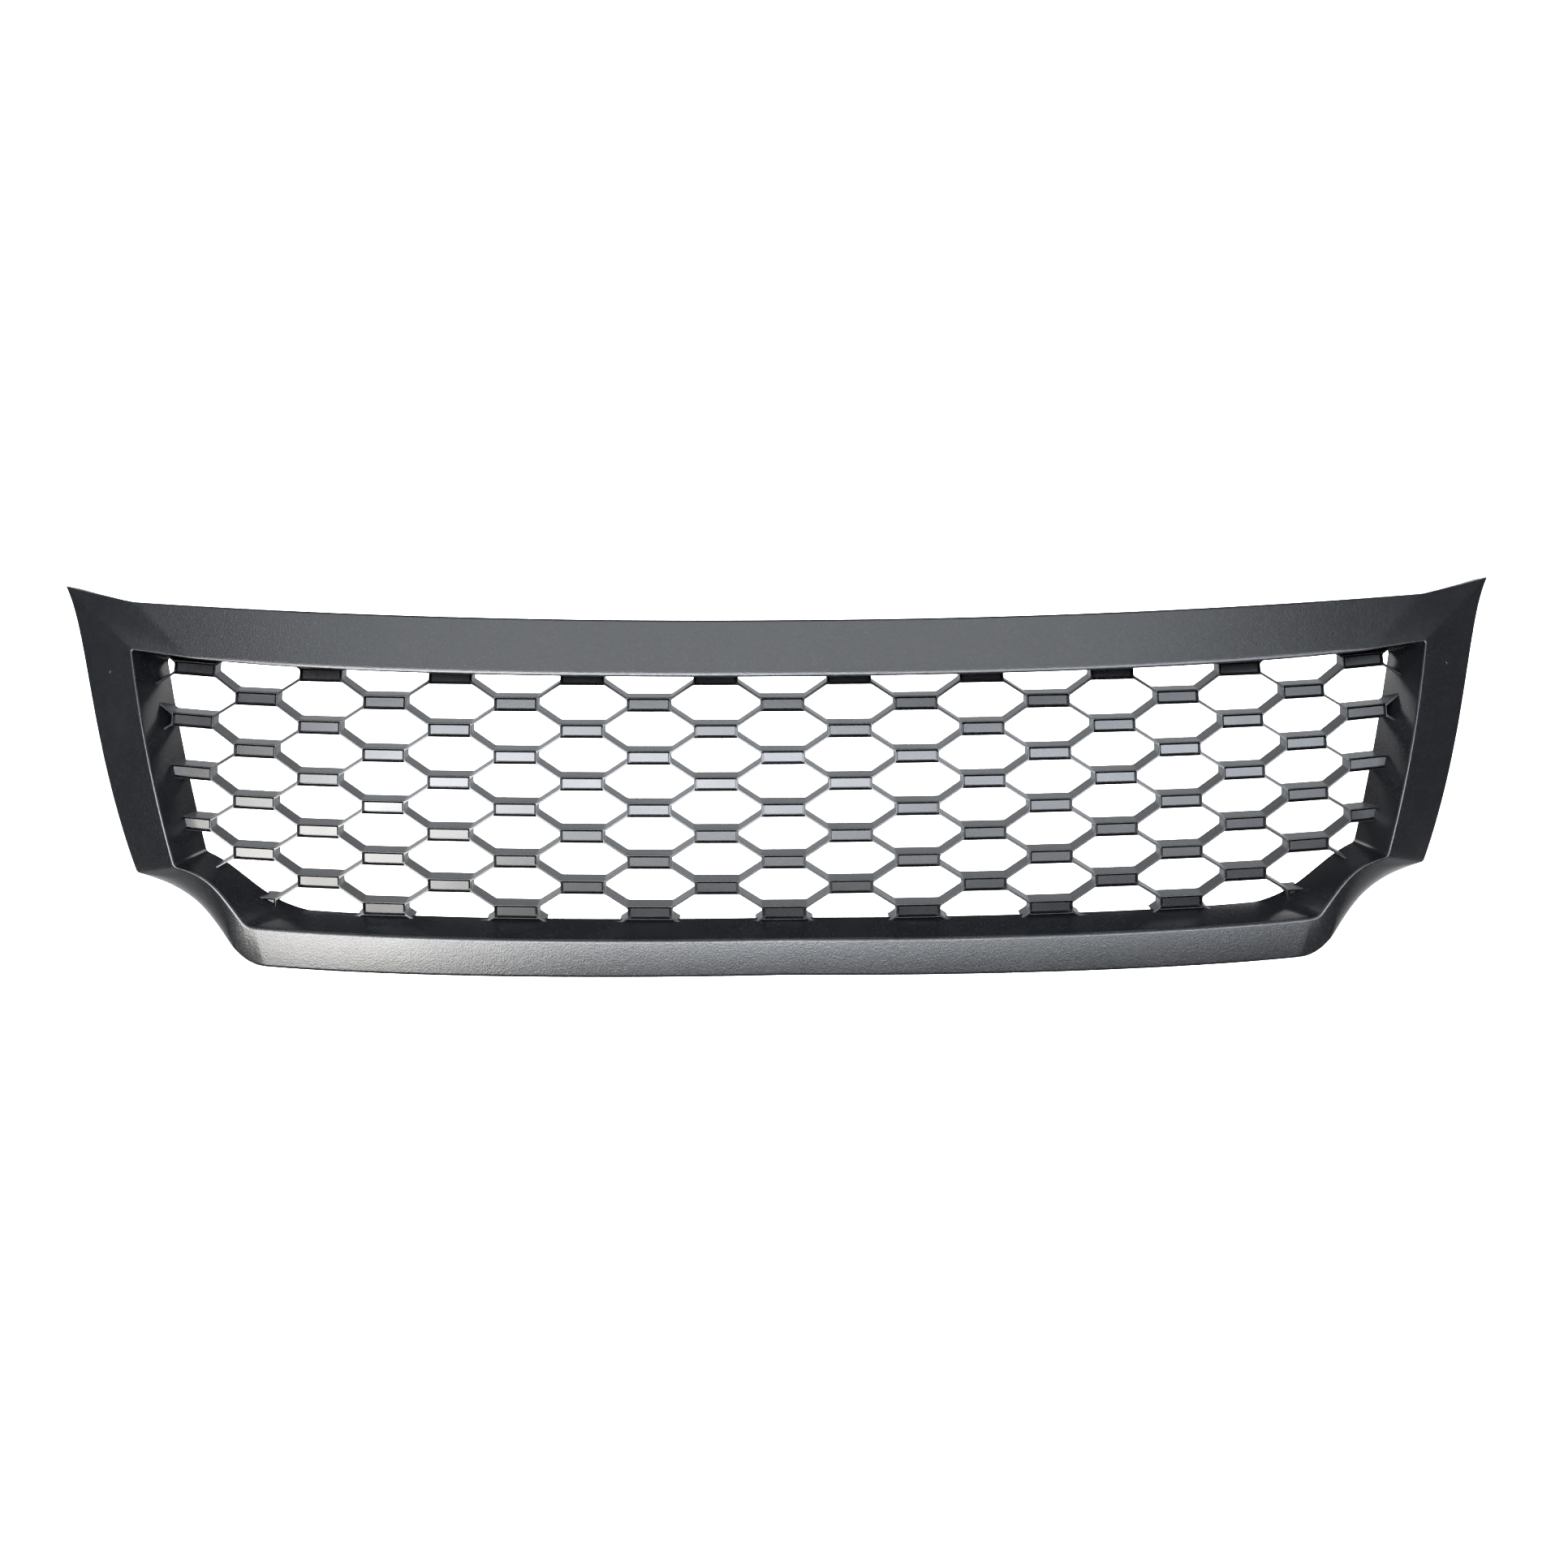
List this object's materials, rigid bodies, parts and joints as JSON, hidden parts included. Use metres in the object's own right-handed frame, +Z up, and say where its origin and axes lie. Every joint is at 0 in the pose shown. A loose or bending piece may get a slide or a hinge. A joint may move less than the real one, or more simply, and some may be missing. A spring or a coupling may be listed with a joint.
{
  "type": "front grille",
  "caption": "Full-width pickup front grille: satin plastic surround with swept-back wings around a recessed honeycomb mesh insert, with screws, push rivets and clips.",
  "frame": {"origin": "the middle of the underside of the centre top tab, where the grille rests on the vehicle body", "axes": "+X sideways along the grille's width, +Y towards the rear of the vehicle, +Z up; the grille is symmetric about X = 0"},
  "size_m": [1.21, 0.2086, 0.2922],
  "materials": {
    "surround_plastic": "satin dark grey moulded plastic with a fine grain",
    "mesh_plastic": "black moulded plastic with a soft sheen",
    "screw_steel": "zinc-plated steel",
    "spring_steel": "phosphated spring steel",
    "nylon": "black nylon",
    "foam": "closed-cell foam"
  },
  "bodies": {
    "grille": {"surround": "surround_plastic", "mesh_insert": "mesh_plastic", "insert_screw_01": "screw_steel", "insert_screw_02": "screw_steel", "insert_screw_03": "screw_steel", "insert_screw_04": "screw_steel", "insert_screw_05": "screw_steel", "insert_screw_06": "screw_steel", "insert_screw_07": "screw_steel", "insert_screw_08": "screw_steel", "insert_screw_09": "screw_steel", "insert_screw_10": "screw_steel", "insert_screw_11": "screw_steel", "insert_screw_12": "screw_steel", "insert_screw_13": "screw_steel", "insert_screw_14": "screw_steel", "rivet_sleeve_01": "nylon", "rivet_sleeve_02": "nylon", "rivet_sleeve_03": "nylon", "rivet_sleeve_04": "nylon", "lower_clip_01": "spring_steel", "lower_clip_02": "spring_steel", "lower_clip_03": "spring_steel", "lower_clip_04": "spring_steel", "lower_clip_05": "spring_steel", "lower_clip_06": "spring_steel", "side_nut_left": "spring_steel", "side_nut_right": "spring_steel", "wing_pad_left": "foam", "wing_pad_right": "foam"},
    "pin_01": {"rivet_pin_01": "nylon"},
    "pin_02": {"rivet_pin_02": "nylon"},
    "pin_03": {"rivet_pin_03": "nylon"},
    "pin_04": {"rivet_pin_04": "nylon"}
  },
  "joints": [
    {"name": "pin_01_pull", "type": "slide", "parent": "grille", "child": "pin_01", "axis": [0, 0, 1], "range_m": [0, 0.008]},
    {"name": "pin_02_pull", "type": "slide", "parent": "grille", "child": "pin_02", "axis": [0, 0, 1], "range_m": [0, 0.008]},
    {"name": "pin_03_pull", "type": "slide", "parent": "grille", "child": "pin_03", "axis": [0, 0, 1], "range_m": [0, 0.008]},
    {"name": "pin_04_pull", "type": "slide", "parent": "grille", "child": "pin_04", "axis": [0, 0, 1], "range_m": [0, 0.008]}
  ]
}
